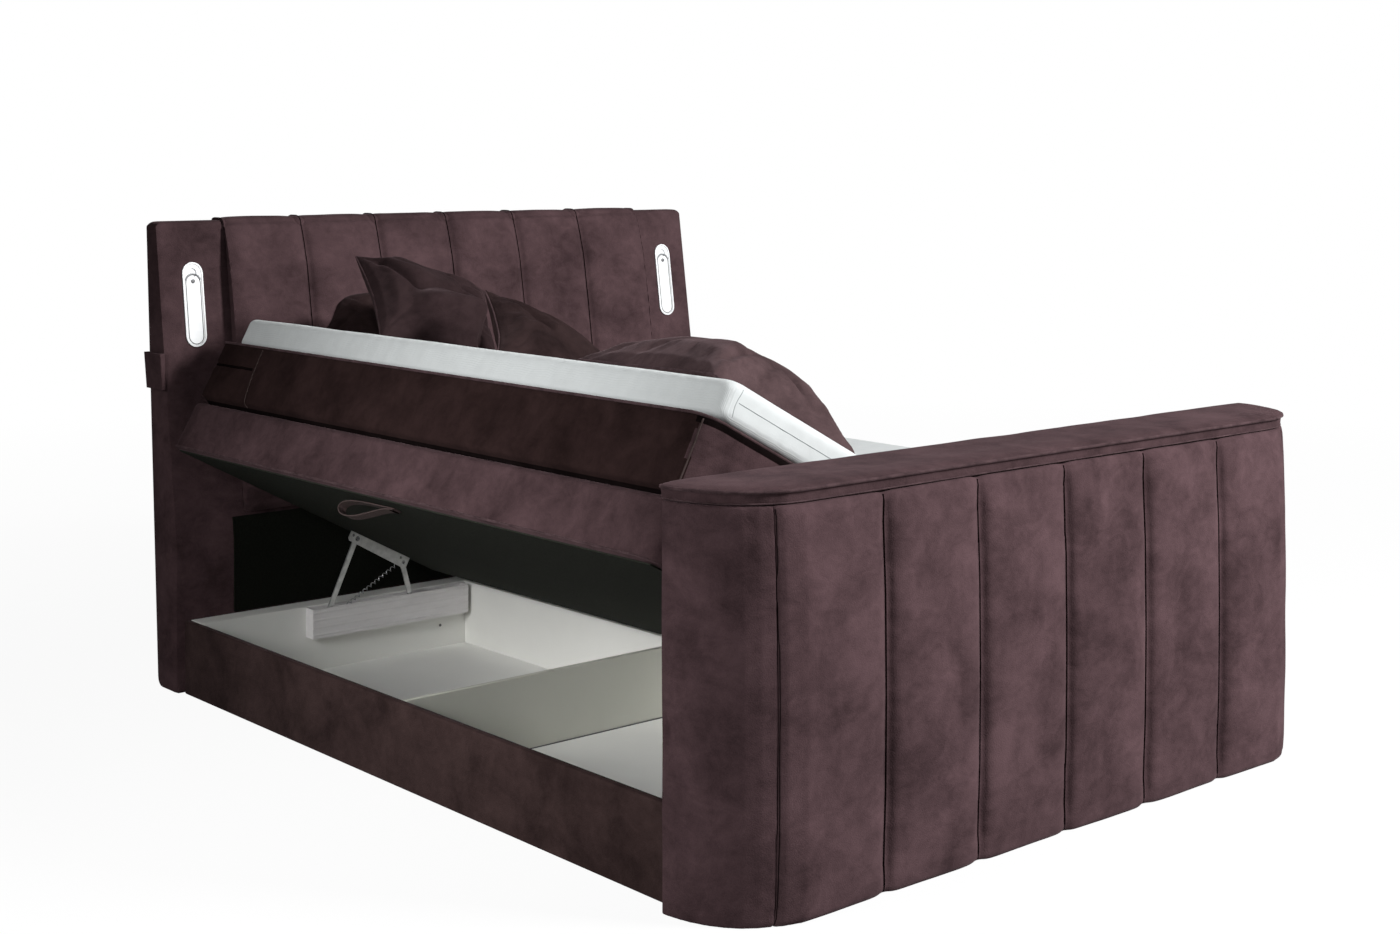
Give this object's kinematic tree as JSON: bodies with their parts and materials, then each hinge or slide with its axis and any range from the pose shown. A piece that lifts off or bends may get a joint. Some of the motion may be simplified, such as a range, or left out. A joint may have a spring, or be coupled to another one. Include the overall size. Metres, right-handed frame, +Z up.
{
  "type": "box spring bed",
  "caption": "Upholstered box spring bed: mattress halves that lift over storage boxes, channelled headboard with reading lamps, padded footboard hiding a television lift",
  "frame": {"origin": "bottom centre of the whole bed, on the floor", "axes": "+Y from the footboard to the headboard, +X to the right as seen from the foot, +Z up"},
  "size_m": [1.9742, 2.546, 1.309],
  "materials": {
    "plum_fabric": "short velvety pile, dark plum brown",
    "plum_cushion_fabric": "short velvety pile, dark plum brown",
    "topper_fabric": "knitted ticking, off-white",
    "lining_fleece": "thin black fleece",
    "strap_webbing": "woven webbing, dark brown",
    "white_board": "white melamine-faced board, satin",
    "channel_plastic": "cool white moulding, satin",
    "zinc_steel": "zinc-plated, dull",
    "spring_steel": "bright drawn wire",
    "lamp_plastic": "white, glossy",
    "lift_enamel": "black, satin"
  },
  "bodies": {
    "frame": {"side_rail_left": "plum_fabric", "side_rail_right": "plum_fabric", "foot_rail": "white_board", "head_rail": "white_board", "centre_rail": "white_board", "box_floor_left": "white_board", "box_floor_right": "white_board", "divider_left": "white_board", "divider_right": "white_board", "headboard_core": "plum_fabric", "headboard_pad": "plum_fabric", "headboard_lining": "lining_fleece", "side_pocket": "plum_fabric", "lamp_housing_left": "lamp_plastic", "lamp_housing_right": "lamp_plastic", "footboard_front": "plum_fabric", "footboard_end_left": "plum_fabric", "footboard_end_right": "plum_fabric", "footboard_rear": "plum_fabric", "footboard_floor": "white_board", "lift_tube": "lift_enamel", "lift_channel_left_head": "channel_plastic", "lift_channel_left_foot": "channel_plastic", "lift_channel_right_head": "channel_plastic", "lift_channel_right_foot": "channel_plastic", "lift_spring_left_head": "spring_steel", "lift_spring_left_foot": "spring_steel", "lift_spring_right_head": "spring_steel", "lift_spring_right_foot": "spring_steel"},
    "left_half": {"underside_left": "lining_fleece", "spring_box_left": "plum_fabric", "mattress_left": "plum_fabric", "topper_left": "topper_fabric", "pull_strap_left": "strap_webbing", "lift_bar_left_head": "zinc_steel", "lift_bar_left_foot": "zinc_steel", "cushion_corner": "plum_cushion_fabric", "cushion_upright": "plum_cushion_fabric", "cushion_leaning": "plum_cushion_fabric", "cushion_large": "plum_cushion_fabric"},
    "right_half": {"underside_right": "lining_fleece", "spring_box_right": "plum_fabric", "mattress_right": "plum_fabric", "topper_right": "topper_fabric", "pull_strap_right": "strap_webbing", "lift_bar_right_head": "zinc_steel", "lift_bar_right_foot": "zinc_steel"},
    "long_arm_left_head": {"long_arm_left_head": "zinc_steel"},
    "short_arm_left_head": {"short_arm_left_head": "zinc_steel"},
    "long_arm_left_foot": {"long_arm_left_foot": "zinc_steel"},
    "short_arm_left_foot": {"short_arm_left_foot": "zinc_steel"},
    "long_arm_right_head": {"long_arm_right_head": "zinc_steel"},
    "short_arm_right_head": {"short_arm_right_head": "zinc_steel"},
    "long_arm_right_foot": {"long_arm_right_foot": "zinc_steel"},
    "short_arm_right_foot": {"short_arm_right_foot": "zinc_steel"},
    "lamp_left": {"lamp_arm_left": "lamp_plastic"},
    "lamp_right": {"lamp_arm_right": "lamp_plastic"},
    "foot_lid": {"footboard_lid": "plum_fabric"},
    "television_lift": {"lift_ram": "zinc_steel", "television_bracket": "lift_enamel"}
  },
  "joints": [
    {"name": "left_half_hinge", "type": "hinge", "parent": "frame", "child": "left_half", "pos_m": [0.00559, 0, 0.53], "axis": [0, 1, 0], "range_deg": [-28, 0], "deforming": ["lift_spring_left_head", "lift_spring_left_foot"]},
    {"name": "right_half_hinge", "type": "hinge", "parent": "frame", "child": "right_half", "pos_m": [0.00559, 0, 0.53], "axis": [0, -1, 0], "range_deg": [0, 28], "deforming": ["lift_spring_right_head", "lift_spring_right_foot"]},
    {"name": "long_arm_left_head_pivot", "type": "hinge", "parent": "left_half", "child": "long_arm_left_head", "pos_m": [-0.44441, 0.9747, 0.382], "axis": [0, 1, 0], "range_deg": [0, 92.81]},
    {"name": "short_arm_left_head_pivot", "type": "hinge", "parent": "left_half", "child": "short_arm_left_head", "pos_m": [-0.28941, 0.9747, 0.292], "axis": [0, 1, 0], "range_deg": [0, 136.39]},
    {"name": "long_arm_left_foot_pivot", "type": "hinge", "parent": "left_half", "child": "long_arm_left_foot", "pos_m": [-0.44441, -0.9907, 0.382], "axis": [0, 1, 0], "range_deg": [0, 92.81]},
    {"name": "short_arm_left_foot_pivot", "type": "hinge", "parent": "left_half", "child": "short_arm_left_foot", "pos_m": [-0.28941, -0.9907, 0.292], "axis": [0, 1, 0], "range_deg": [0, 136.39]},
    {"name": "long_arm_right_head_pivot", "type": "hinge", "parent": "right_half", "child": "long_arm_right_head", "pos_m": [0.33344, 0.9747, 0.18806], "axis": [0, -1, 0], "range_deg": [-92.81, 0]},
    {"name": "short_arm_right_head_pivot", "type": "hinge", "parent": "right_half", "child": "short_arm_right_head", "pos_m": [0.15433, 0.9747, 0.18136], "axis": [0, -1, 0], "range_deg": [-136.39, 0]},
    {"name": "long_arm_right_foot_pivot", "type": "hinge", "parent": "right_half", "child": "long_arm_right_foot", "pos_m": [0.33344, -0.9907, 0.18806], "axis": [0, -1, 0], "range_deg": [-92.81, 0]},
    {"name": "short_arm_right_foot_pivot", "type": "hinge", "parent": "right_half", "child": "short_arm_right_foot", "pos_m": [0.15433, -0.9907, 0.18136], "axis": [0, -1, 0], "range_deg": [-136.39, 0]},
    {"name": "lamp_left_hinge", "type": "hinge", "parent": "frame", "child": "lamp_left", "pos_m": [-0.85641, 1.14325, 0.95299], "axis": [1, 0, 0], "range_deg": [0, 90]},
    {"name": "lamp_right_hinge", "type": "hinge", "parent": "frame", "child": "lamp_right", "pos_m": [0.86759, 1.14325, 0.95299], "axis": [1, 0, 0], "range_deg": [0, 90]},
    {"name": "television_lift_slide", "type": "slide", "parent": "frame", "child": "television_lift", "axis": [0, 0, 1], "range_m": [0, 0.4]},
    {"name": "foot_lid_hinge", "type": "hinge", "parent": "frame", "child": "foot_lid", "pos_m": [0.00559, -1.253, 0.8125], "axis": [1, 0, 0], "range_deg": [0, 95.02]}
  ],
  "couplings": [
    {"joint": "long_arm_left_head_pivot", "follows": "left_half_hinge", "ratio": -3.3139},
    {"joint": "short_arm_left_head_pivot", "follows": "left_half_hinge", "ratio": -4.8705},
    {"joint": "long_arm_left_foot_pivot", "follows": "left_half_hinge", "ratio": -3.3139},
    {"joint": "short_arm_left_foot_pivot", "follows": "left_half_hinge", "ratio": -4.8705},
    {"joint": "long_arm_right_head_pivot", "follows": "right_half_hinge", "ratio": -3.3139},
    {"joint": "short_arm_right_head_pivot", "follows": "right_half_hinge", "ratio": -4.8705},
    {"joint": "long_arm_right_foot_pivot", "follows": "right_half_hinge", "ratio": -3.3139},
    {"joint": "short_arm_right_foot_pivot", "follows": "right_half_hinge", "ratio": -4.8705},
    {"joint": "foot_lid_hinge", "follows": "television_lift_slide", "rad_per_m": 4.1452}
  ]
}
